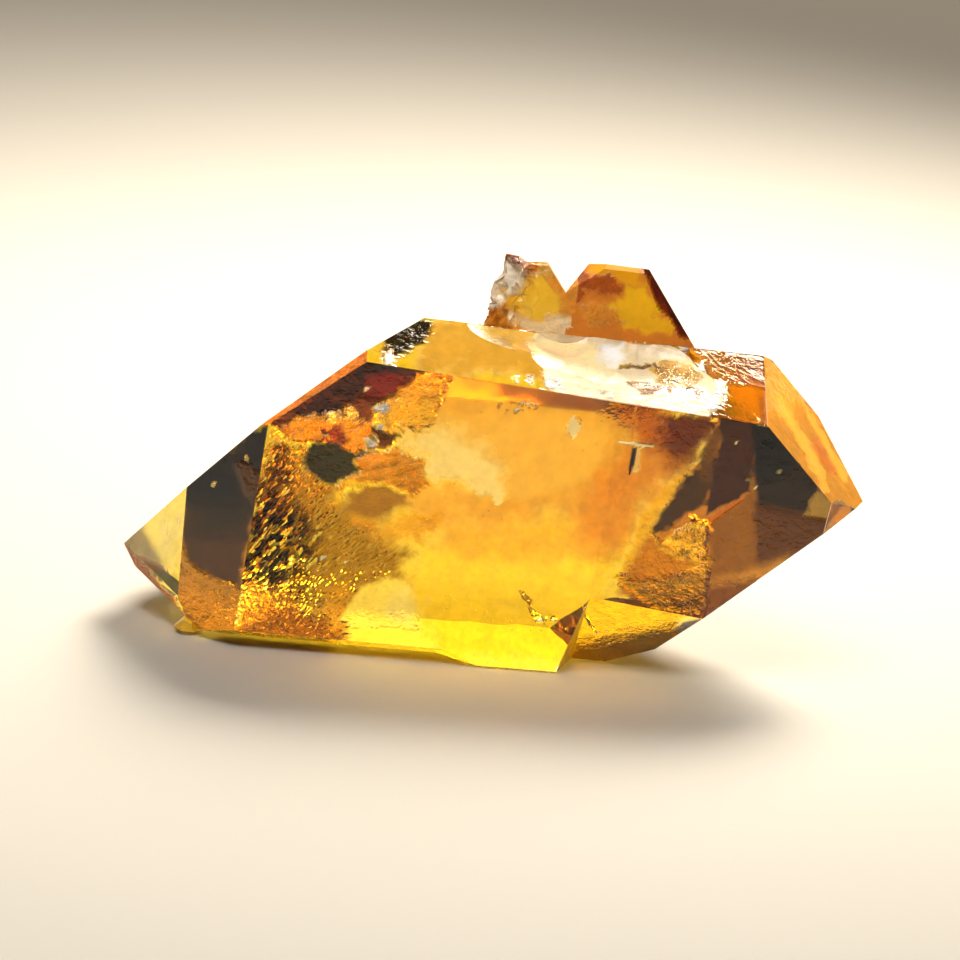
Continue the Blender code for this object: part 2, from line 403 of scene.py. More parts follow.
# The pale triangle.
zone("front", "#FFFFFA", 0.97, (0.6, 0.3), 0.25, (0.05, 0, 0.15),
     [(-12.2, -10.3), (-10.9, -7.3), (-9, -6.5), (-7.3, -6.3), (-6.4, -7.3), (-6.1, -9), (-5.4, -10.4),
      (-8.4, -10.5), (-10.9, -10.9)])
# Its frosted heart.
zone("front", "#FFFFFF", 0.8, (1.2, 0.8), 0.2, (0.16, 0, 0.1),
     [(-8.8, -9.3), (-8.3, -7.7), (-7.1, -6.7), (-6.4, -8.3), (-5.9, -10), (-7.3, -10.2)])
print("front zones so far:", len(ZONES["front"]))

# %% [markdown]
# ## The dark corner under the shoulder
# At the upper left the stone is bruised. Thin cracks lie there one over the other and turn the light
# maroon, orange and nearly black, and that light is painted into the tint. Small crinkled zones with hard
# edges read as flakes. The nearly black fold is a painted shadow of the flake, and the dark cleft is
# painted shade. The red glint and the bright rims are painted highlights: they are where a crack comes up
# to the skin, and they matter as much as the dark flakes.

# %% Maroon and orange flakes
# Maroon ground of the corner.
zone("front", "#4A1C0C", 0.98, (0.2, 0.25), 0.25, (0, 0, 0.5),
     [(-20.3, 5.6), (-13.2, 11.8), (-8.1, 11.9), (-9.8, 9.8), (-10.8, 8.6), (-12, 8), (-12, 6.2),
      (-9.7, 6.2), (-10.4, 4.7), (-12.6, 4.1), (-16.9, 4.5), (-18.6, 4.6), (-20, 5)])
# Nearly black fold under the edge, a painted shadow of the flake.
zone("front", "#18080A", 0.85, (0.3, 0.5), 0.5, (0, 0, 0.3),
     [(-13.2, 11.8), (-8.1, 11.9), (-9.5, 10.3), (-10.3, 10.6), (-12.8, 10.8), (-13.3, 8.7), (-14.5, 7.8),
      (-16.1, 7.1), (-18, 6.3), (-18.4, 6.8)])
# Red glint, a painted highlight.
zone("front", "#561208", 0.95, (0.2, 0.3), 0.2, (0, 0, 0.25),
     [(-13.4, 10.5), (-11.7, 11.1), (-10.1, 10.6), (-10.3, 9.7), (-11.5, 8.7), (-13, 8.7)])
# Orange flake.
zone("front", "#DCB058", 0.94, (0.4, 0.2), 0.6, (0, 0, 0.95),
     [(-19.3, 5.1), (-18, 6.2), (-16.7, 6.7), (-14, 7.7), (-13.2, 6.8), (-12.3, 6.2), (-12.5, 4.4),
      (-14, 4.6), (-16.9, 4.6), (-18.4, 4.6)])
# Dark cleft in the flake, painted shade.
zone("front", "#5E1E08", 0.95, (0.3, 0.3), 0.6, (0, 0, 0.6),
     [(-15.7, 5.7), (-14.4, 6.1), (-13.3, 5.2), (-14, 4.6), (-15.4, 4.7)])
# Short dark crack.
zone("front", "#2A1C18", 0.85, (0.2, 0.2), 0.3, (0, 0, 0.3),
     [(-11.7, 6.1), (-9.6, 6.1), (-9.3, 5.7), (-10.8, 5.5)])
# Pale wedge beside the corner.
zone("front", "#F0CC78", 0.92, (0.4, 1.4), 0.8, (0.2, 0, 0.75),
     [(-12, 6.7), (-10.7, 8.8), (-9.7, 10), (-8.1, 11.8), (-6.1, 11.9), (-6.9, 8.6), (-8, 6.6), (-9.6, 6.5),
      (-11, 6.4)])
print("front zones so far:", len(ZONES["front"]))

# %% [markdown]
# ## The dark eye
# Below the maroon corner a crack closes to a dark eye, where no light gets back out, and that shade is
# painted. Amber folds curl round it with a painted bright rim. The eye is painted after the folds, so
# that it covers their inner edge.

# %% Dark eye and amber folds
# Amber folds.
zone("front", "#D89A28", 0.93, (0.25, 0.8), 0.6, (0.05, 0, 0.95),
     [(-12.3, 3.9), (-9.4, 4.8), (-7.7, 3.8), (-6.8, 2.2), (-7.6, 1), (-9, 1.5), (-10.9, 1.7), (-12.5, 1),
      (-13.8, 0.6), (-14, -1), (-14.4, 0.5), (-13.6, 1.5), (-12.2, 2.2), (-13.1, 3.1)])
# Bright rim of the folds, a painted highlight.
zone("front", "#FFE678", 0.92, (0.2, 0.3), 0.5, (0.2, 0, 0.7),
     [(-14.2, 0.2), (-13.2, 1.4), (-10.9, 1.8), (-9.6, 1.8), (-11.5, 1.3), (-13.1, 0.5), (-13.4, -0.9),
      (-14.1, -0.5)])
# Dark eye, painted shade.
zone("front", "#181A12", 0.98, (0.35, 0.4), 0.5, (0, 0, 0.3),
     [(-17.2, 3.3), (-16.3, 4.3), (-14.3, 4.4), (-12.6, 4.2), (-11.4, 4), (-13.3, 3.1), (-11.8, 2.6),
      (-13.3, 1.7), (-13.9, 1.4), (-14.7, 0.8), (-15.9, 1.4), (-16.8, 2.3)])
# Brown lens under the eye.
zone("front", "#946018", 0.88, (0.5, 1.6), 0.5, (0, 0, 0.45),
     [(-13.5, -0.4), (-12, 1), (-10.2, 1.5), (-8.4, 0.9), (-8, 0.3), (-9, -0.7), (-9.9, -1.7),
      (-11.4, -1.6), (-13, -1.1)])
# Honey fringe below the folds.
zone("front", "#E4A848", 0.7, (1, 1.5), 0.6, (0, 0.3, 0.6),
     [(-12.3, -1.3), (-10, -1.9), (-7.5, -0.7), (-5.4, -0.4), (-6.2, -3), (-9.5, -3.1), (-11.7, -2.3)])
print("front zones so far:", len(ZONES["front"]))

# %% [markdown]
# ## Panes at the right
# Looking in at the right, the eye meets the inner side of the far end facets. Each of them sends the
# light another way, so they show as panes with straight borders: brown, maroon and almost black. These
# panes, the amber and maroon shade above them and the bright slanting line are painted shade and
# painted reflections in the tint of the front facet. The borders are drawn nearly hard, because they
# are the true edges of facets on the far side.

# %% Upper right shade and the slanting line
# Amber haze left of the stepped break.
zone("front", "#D48A18", 0.75, (2.5, 2.5), 0.8, (0, 0, 0),
     [(7.1, 4.8), (9.4, 7.6), (11.6, 6.1), (14, 5.4), (12.4, 3.8), (11.1, 1.5), (10.7, -0.7), (9.6, -1.9),
      (6.8, -1.5), (5.3, 1.1)])
# Painted amber shade at the upper right.
zone("front", "#C26A14", 0.9, (1.6, 3.5), 0.8, (0, 0, 0.35),
     [(6.9, 10.4), (9.2, 11.6), (13.6, 10.8), (16.1, 10.9), (15.6, 8.8), (14.6, 6.5), (14, 5.4),
      (12.9, 4.9), (11.6, 5.4), (10.7, 6.7), (9.8, 8), (8.6, 9.1)])
# Painted maroon shade near the edge.
zone("front", "#5A1C06", 0.9, (0.6, 2.2), 0.8, (0, 0, 0.5),
     [(12.2, 10.8), (15.9, 10.9), (15.3, 8.7), (14.3, 6.8), (12.9, 6.7), (11.8, 7.4), (11, 8.9)])
# Bright slanting line, a painted reflection of an inner crack plane.
zone("front", "#F2C22C", 0.8, (0.6, 0.3), 0.15, (0.1, 0, 0.4),
     [(14.1, 5.9), (12.4, 3.9), (11.1, 1.5), (10.8, -1), (9.9, -4), (10.3, -4.3), (11.2, -1.7), (12.1, 0.6),
      (13.2, 3), (14.2, 5.5)])
# Brown ground of the right side.
zone("front", "#B9781C", 0.95, (0.2, 0.6), 0.12, (0, 0, 0.1),
     [(14.1, 5.5), (15.3, 7), (15.9, 10.9), (20.5, 10.4), (29.3, 5.1), (25.2, -1.3), (17.5, -6.2),
      (15.2, -6.9), (10.1, -5.2), (10.3, -4.3), (11.2, -1.6), (12.1, 0.5), (13.2, 3)])
print("front zones so far:", len(ZONES["front"]))

# %% [markdown]
# ## A stepped break
# Left of the panes an old break runs down through the stone in steps. Seen from the front it is a
# crinkled golden patch with two bright ledges and a dark wedge above it. The ledges are painted
# highlights, and the wedge and the inside of the step are painted shade. The ledges are narrow zones of
# their own, since a noise pattern alone would never put a ledge in one place.

# %% Stepped break behind the right pane
# Crinkled step.
zone("front", "#F8CC60", 0.9, (0.8, 0.4), 0.4, (0.1, 0, 1),
     [(10.3, -4.4), (11.3, -2), (12, 0), (13.1, -0.5), (14.8, 1.3), (16.6, 1.5), (17.9, -4.9), (17.3, -6.2),
      (14, -6.1)])
# Darker inside of the step, painted shade.
zone("front", "#CC8420", 0.8, (0.3, 0.8), 0.3, (0, 0, 0.3),
     [(12.1, 0.2), (14.9, -1.4), (16.7, -1.7), (15.2, -2.9), (12, -4.1), (10.7, -3.7), (11.4, -1.5)])
# Dark wedge beside the line, painted shade.
zone("front", "#30200A", 0.97, (0.3, 0.3), 0.25, (0, 0, 0.15),
     [(14.1, 5.5), (15.3, 6.8), (16.1, 7.1), (16.2, 5), (16.1, 3.2), (14.5, 2.2), (13.9, 1), (12.6, 0.2),
      (12.1, 0.7), (13.3, 3)])
# Brown sliver above it.
zone("front", "#5C3E14", 0.92, (0.3, 0.3), 0.15, (0, 0, 0.2),
     [(15, 7.3), (15.9, 10), (16.9, 10.5), (16.4, 8.5), (16.1, 6.9), (16.2, 5.3), (15.6, 4.9), (15.2, 6.2)])
# Upper ledge of the step, a painted highlight.
zone("front", "#FFD860", 0.8, (0.12, 0.12), 0.1, (0.3, 0, 0.6),
     [(12, 0.3), (12.2, 0.4), (13.1, -0.7), (14.9, -1.3), (17, -1.6), (17.1, -1.8), (14.8, -1.6), (13, -1)])
# Lower ledge of the step, a painted highlight.
zone("front", "#FFE070", 0.8, (0.12, 0.12), 0.1, (0.3, 0, 0.6),
     [(14.7, 1.3), (16.6, 1.7), (16.6, 1.4), (14.8, 1.1)])
print("front zones so far:", len(ZONES["front"]))

# %% [markdown]
# ## The panes themselves
# Each pane is one zone of painted shade with nearly straight edges, and they are painted from the
# lightest to the darkest. A soft lower edge lets a pane fade the way a reflection does, where a hard one
# is a border.

# %% Brown, maroon and black panes
# Brown see-through pane, painted shade.
zone("front", "#84581C", 0.94, (0.15, 1), 0.12, (0, 0, 0.2),
     [(16.5, 1.9), (19.1, 4.3), (19.8, 4.9), (20.3, 3), (21.2, -1.8), (17.9, -4.2), (16.8, 0.8)])
# Dark brown pane, painted shade.
zone("front", "#4A2810", 0.94, (0.5, 0.8), 0.3, (0, 0, 0.25),
     [(20, 3.9), (26.5, 3.3), (29, 4.5), (25, -0.3), (21.3, -2.5), (20.6, 1.3)])
# Warm foot of the panes: painted light, frosted so that it stays bright.
zone("front", "#D8984C", 0.9, (1.5, 0.3), 0.3, (0.5, 0, 0.15),
     [(17.6, -3.2), (21.2, -1.8), (23.7, -0.4), (23, -2.5), (17.8, -6.2)])
# Maroon pane, painted shade.
zone("front", "#2E1008", 0.98, (0.2, 0.2), 0.2, (0, 0, 0.15),
     [(15.9, 10.9), (18.9, 10.7), (19.8, 4.9), (18.9, 4.4), (17, 2.8), (16.3, 2.2), (16.2, 5), (16.1, 6.9),
      (16.6, 8.9)])
# Black pane, painted shade.
zone("front", "#0A070C", 0.98, (0.15, 0.9), 0.15, (0, 0, 0.15),
     [(18.7, 10.7), (20.6, 10.5), (25.5, 6.2), (26.9, 4.8), (26.2, 3.2), (23.5, 3.4), (20.2, 3.7)])
# Its blackest part, painted shade.
zone("front", "#040308", 0.95, (0.15, 1.2), 0.3, (0, 0, 0.15),
     [(18.8, 10.7), (20.6, 10.5), (23.3, 8), (21.8, 6.4), (20.6, 5.5), (19.6, 6.5)])
# Bright rim under the maroon pane, a painted highlight.
zone("front", "#B9651A", 0.9, (0.15, 0.3), 0.1, (0, 0, 0),
     [(16.5, 1.9), (18.5, 3.9), (19.1, 4.4), (19.2, 4.1), (18.1, 3.1), (16.8, 1.5)])
# Small pale facet at the right tip, a painted reflection of a far facet.
zone("front", "#9A7C4C", 0.9, (0.12, 0.12), 0.05, (0.2, 0, 0),
     [(24.8, 5), (25.4, 5.7), (26.6, 4.7), (26.5, 3.4), (24.4, 3.4)])
# Small red facet beside it, a painted reflection of a far facet.
zone("front", "#5C2010", 0.9, (0.12, 0.12), 0.05, (0, 0, 0),
     [(26.7, 4.7), (29, 4.5), (26.8, 2.7), (26.5, 3.4)])
print("front zones so far:", len(ZONES["front"]))

# %% [markdown]
# ## A needle and a tiny diamond
# Two small marks make this crystal easy to recognise: a pale needle with a cross bar that a dark tube
# hangs from, and a little kite-shaped film further left. Both lie so close under the skin that they
# can be painted. The tube's solid core is made later as a piece of its own.

# %% Needle, tube shadow and film
# Cross bar of the needle.
zone("front", "#FFF2D0", 0.95, (0.12, 0.12), 0.05, (0.9, 0, 0),
     [(8.1, 7.7), (9.6, 7.8), (11.1, 7.7), (11.2, 7.5), (9.7, 7.4), (8.1, 7.5)])
# The needle.
zone("front", "#F2CC96", 0.9, (0.12, 0.12), 0.05, (0.7, 0, 0),
     [(9.4, 7.3), (10.1, 7.4), (10.3, 5.3), (9.7, 5.1)])
# Fine line above it.
zone("front", "#E09848", 0.85, (0.12, 0.12), 0.05, (0.5, 0, 0),
     [(8.9, 11.5), (9.1, 11.5), (9.3, 7.8), (9.1, 7.8)])
# Shadow of the tube.
zone("front", "#140806", 0.95, (0.12, 0.12), 0.1, (0, 0, 0),
     [(9.4, 7.3), (9.7, 7.3), (9.7, 6.2), (9.6, 5.3), (9.3, 5.3), (9.3, 6.2)])
# Kite-shaped film.
zone("front", "#FFF0C4", 0.92, (0.15, 0.15), 0.1, (0.7, 0, 0),
     [(3.7, 8.4), (4.1, 9.4), (5, 8.5), (4.4, 7.2)])
print("front zones so far:", len(ZONES["front"]))

# %% [markdown]
# ## The left end
# The left end facet is painted nearly black at the top and brown towards the table: painted shade,
# darkest where the facet looks up and away from the table. The tip beside it is pale and silky with two
# painted white highlights, and the little faces under it are honey brown.

# %% Left end and tip
# Amber foot of the left end.
zone("left_end", "#BE8E50", 0.97, (0.5, 0.5), 0.3, (0.12, 0, 0.3),
     [(-26.6, -1.8), (-19.4, 6.4), (-19.1, 4.7), (-20.5, -13.6), (-24.8, -15.3), (-26.9, -9)])
# Brown middle.
zone("left_end", "#3C2616", 0.97, (0.3, 0.5), 0.25, (0, 0, 0.1),
     [(-26.1, -1.6), (-20, 6.1), (-19.4, 4.6), (-20.6, -3.6), (-20.7, -8.7), (-23.8, -8.5), (-25.2, -7.5)])
# Grey-brown top, painted shade.
zone("left_end", "#221A16", 0.94, (2, 3), 0.4, (0, 0, 0.1),
     [(-26.1, -1.6), (-20, 6.1), (-19.4, 4.6), (-20.6, -3.6), (-20.7, -4.6), (-25.3, -6.3)])
# Nearly black corner, painted shade.
zone("left_end", "#03050E", 0.97, (1, 2), 0.5, (0, 0, 0.1),
     [(-26.1, -1.6), (-20, 6.1), (-19.4, 4.6), (-19.7, 1.6), (-20.6, -0.7), (-22, -2.2), (-25.7, -3.6)])
# Brown spot.
zone("left_end", "#4A3326", 0.8, (0.4, 0.6), 0.3, (0, 0, 0.3),
     [(-22.5, 1.4), (-21.3, 1.9), (-20.2, 0.5), (-20.7, -1.4), (-21.6, -0.7)])
# Pale silky tip.
zone("left_tip", "#FFF8C8", 0.95, (0.5, 0.5), 0.3, (0.35, 0, 0.05),
     [(-30.2, -8.6), (-25.7, -1.4), (-25, -5.7), (-25.4, -8.2), (-26.2, -9.5), (-29.1, -9.2)])
# Wide white streak, a painted highlight.
zone("left_tip", "#FFF6C0", 0.9, (0.8, 0.8), 0.3, (0.6, 0, 0),
     [(-27.4, -5.5), (-26.8, -4.8), (-26.3, -6.3), (-26.4, -8), (-26.9, -8.2)])
# Narrow white streak, a painted highlight.
zone("left_tip", "#FFF6C0", 0.9, (0.5, 0.5), 0.2, (0.6, 0, 0),
     [(-26.3, -4.4), (-25.9, -3.8), (-25.7, -5), (-25.8, -6.1), (-26.1, -5.9)])
# Honey faces under the tip.
zone("left_under", "#C87C34", 0.97, (0.5, 0.5), 0.4, (0.6, 0, 0.3),
     [(-30.2, -8.4), (-25.6, -11.3), (-24.4, -13), (-24.3, -14.7), (-26.3, -13), (-29.4, -10)])
print("end zones:", len(ZONES["left_end"]), "and tip zones:", len(ZONES["left_tip"]))

# %% [markdown]
# ## The shoulder
# The shoulder is the narrow facet above the front. It is honey coloured and a little frosted, dark at
# its left corner, and cream along the broken front edge. The end facet at the upper left, which shows
# only as a narrow strip, is painted here too.

# %% Shoulder
# Honey left part of the shoulder.
zone("shoulder", "#E2C278", 0.92, (1, 1), 0.6, (0.22, 0, 0.06),
     [(-8.8, 14.6), (-5.4, 14.9), (-2, 14.1), (1.5, 12.9), (2.3, 11.8), (-2.1, 11.8), (-8.9, 11.5)])
# Dark left corner.
zone("shoulder", "#160A06", 0.97, (0.4, 0.4), 0.4, (0, 0, 0.12),
     [(-10.5, 14.5), (-8.2, 14.5), (-7.7, 14.4), (-8.2, 13.3), (-8.9, 13), (-9.9, 12.4), (-11.9, 11.8),
      (-11.9, 13.1)])
# Amber brown end facet that shows as a narrow strip.
zone("upper_left", "#E0A050", 0.97, (0.3, 0.3), 0.3, (0.2, 0, 0.7),
     [(-34, -12), (0, -12), (0, 22), (-34, 22)])
# Golden right part.
zone("shoulder", "#EBCC28", 1, (0.4, 0.4), 0.4, (0.1, 0, 0.12),
     [(14.1, 14.7), (20.2, 14.6), (21.5, 13.9), (20.1, 12.7), (18.2, 12.4), (16.5, 12.5), (15.9, 13.4)])
# Deep yellow corner.
zone("shoulder", "#FFF000", 1, (0.3, 0.3), 0.2, (0.05, 0, 0.05),
     [(16.9, 12.7), (20, 12.7), (19.9, 10.4), (16.7, 10.8)])
# Brown line at the border.
zone("shoulder", "#B0641C", 0.6, (0.2, 0.2), 0.1, (0.3, 0, 0),
     [(19.5, 12.2), (20, 12.2), (19.9, 10.4), (19.4, 10.5)])
# Cream along the broken edge.
zone("shoulder", "#FFEABC", 0.97, (0.3, 0.3), 0.25, (0.85, 0, 0.4),
     [(1.3, 12.9), (4.7, 12.6), (11.6, 13), (15, 12.7), (16.8, 12.8), (16.5, 11.7), (15.2, 10.9),
      (14.8, 10), (8, 10.2), (1.9, 11.2), (1.4, 11.7)])
print("shoulder zones:", len(ZONES["shoulder"]))

# %% [markdown]
# ## The right end glows
# The right end facet is frosted by fine growth lines, so it takes light from above like a lampshade.
# It gets a deep yellow ground, and paler and more orange streaks that run along the crystal.

# %% Right end
# Deep yellow ground.
zone("right_end", "#FABC0C", 0.98, (0.5, 0.5), 0.3, (0.5, 0, 0.1),
     [(19.8, 15.1), (22.3, 13.6), (26, 9.9), (30.7, 3.8), (29.3, 3.6), (26.2, 4.9), (19.6, 10.3)])
# Paler upper part.
zone("right_end", "#F8C040", 0.8, (1, 1), 0.3, (0.6, 0, 0.25),
     [(20.2, 14.6), (22.1, 13.4), (23.9, 11.4), (21.5, 10.9), (20, 11.4)])
# Orange streak.
zone("right_end", "#E88E04", 0.85, (0.6, 0.6), 0.3, (0.6, 0, 0.1),
     [(25.2, 8.9), (28.7, 5.8), (26.7, 6.4), (24.6, 8.5)])
# Pale streak.
zone("right_end", "#FFCC40", 0.7, (0.2, 0.2), 0.2, (0.75, 0, 0.1),
     [(21, 12), (21.9, 11.9), (26, 6.6), (26.5, 5.3), (25.6, 5.8)])
# Second pale streak.
zone("right_end", "#FFCC30", 0.7, (0.2, 0.2), 0.2, (0.75, 0, 0.1),
     [(23.9, 11.3), (24.9, 10.4), (28.7, 5.8), (27.7, 5.7)])
print("right end zones:", len(ZONES["right_end"]))

# %% [markdown]
# ## Chips along the foot
# The flat chip at the lower right looks out over the table to where it is brightest, so it stays
# clear yellow, with one painted white glint. The other breaks round the foot are honey coloured, and
# brown below the left end.

# %% Foot chips
# Clear yellow chip.
zone("corner_chip", "#FFE040", 0.97, (1, 1), 0.3, (0.2, 0, 0.15),
     [(5, -3.9), (21.2, -1.1), (24.1, -11.7), (7.5, -14.7)])
# White glint, a painted highlight.
zone("corner_chip", "#FFFFFF", 0.97, (0.3, 0.3), 0.2, (0.3, 0, 0),
     [(15.3, -7), (17.4, -6), (17.5, -7.2), (16.2, -8)])
# Honey breaks.
zone("breaks", "#FFDC48", 0.95, (50, 50), 0, (0.6, 0, 0.3),
     [(-62.8, 48.3), (65.4, 66.3), (91.3, -56.2), (-48.4, -72.2)])
# Brown breaks below the left end.
zone("breaks", "#4A2C10", 0.95, (0.4, 0.4), 0.3, (0.2, 0, 0.3),
     [(-22.7, -12.5), (-12.5, -11.8), (-11.2, -14.3), (-22.2, -15.7)])
print("chip zones:", len(ZONES["corner_chip"]), "and break zones:", len(ZONES["breaks"]))

# %% [markdown]
# ## The scar
# A flake has come off the shoulder. The fresh break is white like crushed ice at its edges and yellow
# where one looks in, and a thin dark crack runs through it.

# %% Scar
# White ground of the scar.
zone("scar", "#FFF4D0", 1, (50, 50), 0, (0.85, 0, 0.12),
     [(-19, 18.1), (30.2, 22.3), (28, 5.2), (-18.7, 1.8)])
# Yellow window at the left.
zone("scar", "#F6D27C", 0.85, (0.5, 0.8), 0.4, (0.4, 0, 0.2),
     [(-5.7, 14.8), (-3, 14.9), (0.8, 14.4), (0, 12.9), (-2.4, 13.7)])
# Whitest patch.
zone("scar", "#FFFFFF", 0.95, (0.5, 0.8), 0.5, (0.95, 0, 0.1),
     [(6.2, 14.1), (8.5, 14.4), (8.6, 13.1), (7.7, 12.6), (6.2, 13.4)])
# Yellow window at the right.
zone("scar", "#F2CC6A", 0.85, (0.4, 0.4), 0.3, (0.3, 0, 0.4),
     [(10.3, 13), (12.6, 13.7), (14.9, 13), (14, 12.3), (11.3, 12.2)])
# Brown pocket.
zone("scar", "#D8AC58", 0.9, (0.25, 0.25), 0.2, (0.15, 0, 0.25),
     [(8.3, 12), (11.3, 12.1), (15, 12.3), (14.5, 11.6), (12.6, 11.4), (9.8, 11.5)])
# Cream lower edge.
zone("scar", "#FDE9C0", 0.9, (0.3, 0.3), 0.3, (0.85, 0, 0.4),
     [(1.5, 12.5), (4.1, 12), (8, 11.6), (12.9, 11.2), (14.1, 10.8), (13.7, 10.2), (8.1, 10.7), (2, 11.2)])
# Thin dark crack.
zone("scar", "#7A5C34", 0.7, (0.1, 0.1), 0.1, (0.2, 0, 0),
     [(8, 12.8), (9.9, 12.9), (11, 13.3), (11.6, 13), (11.4, 12.9), (10.9, 13.1), (10, 12.7), (7.9, 12.6)])
print("scar zones:", len(ZONES["scar"]))

# %% [markdown]
# ## Two side crystals
# Behind the top ridge stand two small crystals. The left one is the broken stub: white ridges over
# yellow. The right one is a smooth amber point with a brown side face.

# %% Side crystals
# Yellow ground of the stub.
zone("stub", "#F8B840", 0.97, (1, 1), 0.5, (0.6, 0, 0.3),
     [(-6.7, 21.8), (4.9, 23.3), (6.6, 13.1), (-5.1, 11.6)])
# White ridges.
zone("stub", "#FFF6E0", 0.95, (0.25, 0.25), 0.35, (0.85, 0, 0.25),
     [(-4.2, 14.8), (-3.3, 21.2), (-1.7, 21.2), (-0.3, 20), (0.1, 18), (-0.7, 17.2), (-1.6, 16.7),
      (-1.8, 15.5)])
# Amber gap between ridges.
zone("stub", "#D8901C", 0.8, (0.12, 0.12), 0.2, (0.1, 0, 0.8),
     [(-1.9, 20.2), (-1.4, 20.6), (-0.7, 19.5), (-1.2, 19.1), (-1.8, 19.7), (-2, 19.1)])
# Cream top.
zone("stub", "#F8DC94", 0.9, (0.3, 0.4), 0.3, (0.4, 0, 0.3),
     [(-1.2, 20.8), (0.9, 20.6), (2.1, 19), (0.8, 18.5), (-0.1, 18.8)])
# Glowing yellow lobe.
zone("stub", "#FFDA4C", 0.97, (0.4, 0.8), 0.5, (0.65, 0, 0.06),
     [(-0.1, 18.5), (1.4, 18.7), (2.9, 17), (3, 16.1), (1.4, 15.4), (-1, 15.9), (-2.1, 16.5), (-0.7, 17.3)])
# Cream foot.
zone("stub", "#FFF0C8", 0.9, (0.6, 0.4), 0.4, (0.7, 0, 0.25),
     [(-1.1, 15.6), (1.4, 15.4), (3, 16), (5.2, 15.2), (3, 14.1), (-1.3, 14.7)])
# Amber ground of the point.
zone("point", "#E89A2C", 0.98, (1, 1), 0.4, (0.7, 0, 0.1),
     [(-1.6, 22.3), (15, 24.5), (17, 12.6), (0.3, 10.4)])
# Brown cloud.
zone("point", "#CC7C24", 0.9, (0.4, 0.6), 0.8, (0.45, 0, 0.3),
     [(2.9, 17.5), (4, 19.2), (5.7, 19.3), (8.1, 18.7), (6.7, 17.9), (3.3, 17.2)])
# Bright yellow top.
zone("point", "#FFC81C", 0.97, (0.4, 0.4), 0.5, (0.6, 0, 0.05),
     [(5, 20.3), (8.3, 20.8), (9.5, 19.5), (8.7, 19.4), (6.5, 19.2), (4.9, 19.5)])
# Bright yellow lobe.
zone("point", "#FFD424", 0.98, (0.4, 0.4), 0.5, (0.65, 0, 0.06),
     [(7.9, 19.2), (9.6, 19.4), (10.9, 17.4), (10.5, 16.8), (12, 16.7), (12.2, 15.4), (8.3, 15.4),
      (6.6, 16.9), (8.1, 18)])
# Golden bumps.
zone("point", "#F2BC4C", 0.85, (0.9, 0.6), 0.7, (0.5, 0, 0.4),
     [(4.2, 16.9), (6.5, 17.1), (8.2, 16), (7.5, 15.4), (5, 15)])
# Brown side face.
zone("point", "#84441E", 0.95, (0.15, 0.15), 0.05, (0.05, 0, 0),
     [(8.8, 21.1), (9.6, 21.2), (14.3, 15.4), (13.1, 15.2), (11.9, 16.8), (10.9, 17.4)])
print("stub zones:", len(ZONES["stub"]), "and point zones:", len(ZONES["point"]))

# %% [markdown]
# ## Nicks and painted glints
# Edges that have been handled are full of pinprick chips, and each one sparkles. Every nick is a place
# and a radius on one facet. The table below was also worked out outside this script. The nicks are
# painted on top of the zones as small rough white spots.

# %% Nicks
# Each nick is a real chip in the skin, and its sparkle is a painted glint: a small white spot.
CHIP_GLINTS = (
    ("shoulder", -11.4, 12.0, 0.55),
    ("shoulder", -16.0, 10.1, 0.35),
    ("front", -11.2, 7.9, 0.5),
    ("front", -11.8, 7.9, 0.3),
    ("front", -11.4, 6.4, 0.35),
    ("front", -11.8, 4.9, 0.6),
    ("front", -12.9, 9.4, 0.2),
    ("shoulder", -0.9, 11.6, 0.2),
    ("shoulder", 0.3, 11.7, 0.25),
    ("shoulder", 1.8, 11.6, 0.45),
    ("shoulder", 2.7, 11.6, 0.4),
    ("shoulder", 6.3, 11.8, 0.5),
    ("shoulder", 7.0, 11.4, 0.3),
    ("shoulder", 13.5, 10.8, 0.35),
    ("shoulder", 15.6, 11.7, 0.7),
    ("shoulder", 16.2, 12.3, 0.5),
    ("shoulder", 13.3, 14.7, 0.35),
    ("shoulder", 14.7, 13.5, 0.35),
    ("right_end", 19.8, 10.3, 0.2),
    ("front", 4.3, -8.3, 0.36),
    ("front", 5.3, -8.2, 0.21),
    ("front", 7.9, -6.2, 0.18),
    ("front", -0.5, 9.2, 0.18),
    ("front", -0.2, 9.8, 0.16),
    ("front", 0.3, 9.9, 0.18),
    ("front", 0.9, 9.8, 0.14),
    ("front", 20.0, 5.2, 0.1),
    ("front", 17.8, 8.8, 0.11),
    ("front", 19.3, 5.8, 0.1),
    ("front", 21.8, 6.9, 0.14),
    ("front", 23.6, 7.0, 0.12),
    ("front", 22.1, 9.6, 0.08),
    ("front", 14.1, 2.6, 0.08),
    ("front", -14.3, -5.3, 0.18),
    ("front", -12.4, -5.4, 0.2),
    ("left_end", -21.6, 2.2, 0.14),
    ("left_end", -23.7, -0.9, 0.08),
)
print(len(CHIP_GLINTS), "nicks")

# %% [markdown]
# ## Painting the skin
# Every corner of every face gets a tint. Its outline is first pushed about by fractal noise, so that a
# zone drawn with ten points gets an edge with the detail of a hundred. The tint is stored as a power
# of the colour: the shader takes the square root of the colour for every crossing of clear skin, and
# the colour itself where the skin is frosted.

# %% One point of paint
CLEAR = colour("#FFFCF2")
# White paint of a nick: a frosted chip with a painted glint.
CHIP_GLINT_PAINT = Vector((1.0, 1.0, 0.97, 0.9, 0.0, 0.8))
# A nick is ragged and fades out between these two shares of its radius.
NICK_RAG = 0.9
NICK_EDGE = (1.1, 0.6)
# The size in mm of the noise that pushes an outline about, and its roughness, spacing and octaves.
RAG_SIZE = 1.6
RAG_KIND = (0.6, 2.1, 5)
ANOTHER_NOISE = Vector((31.0, 7.0, 13.0))


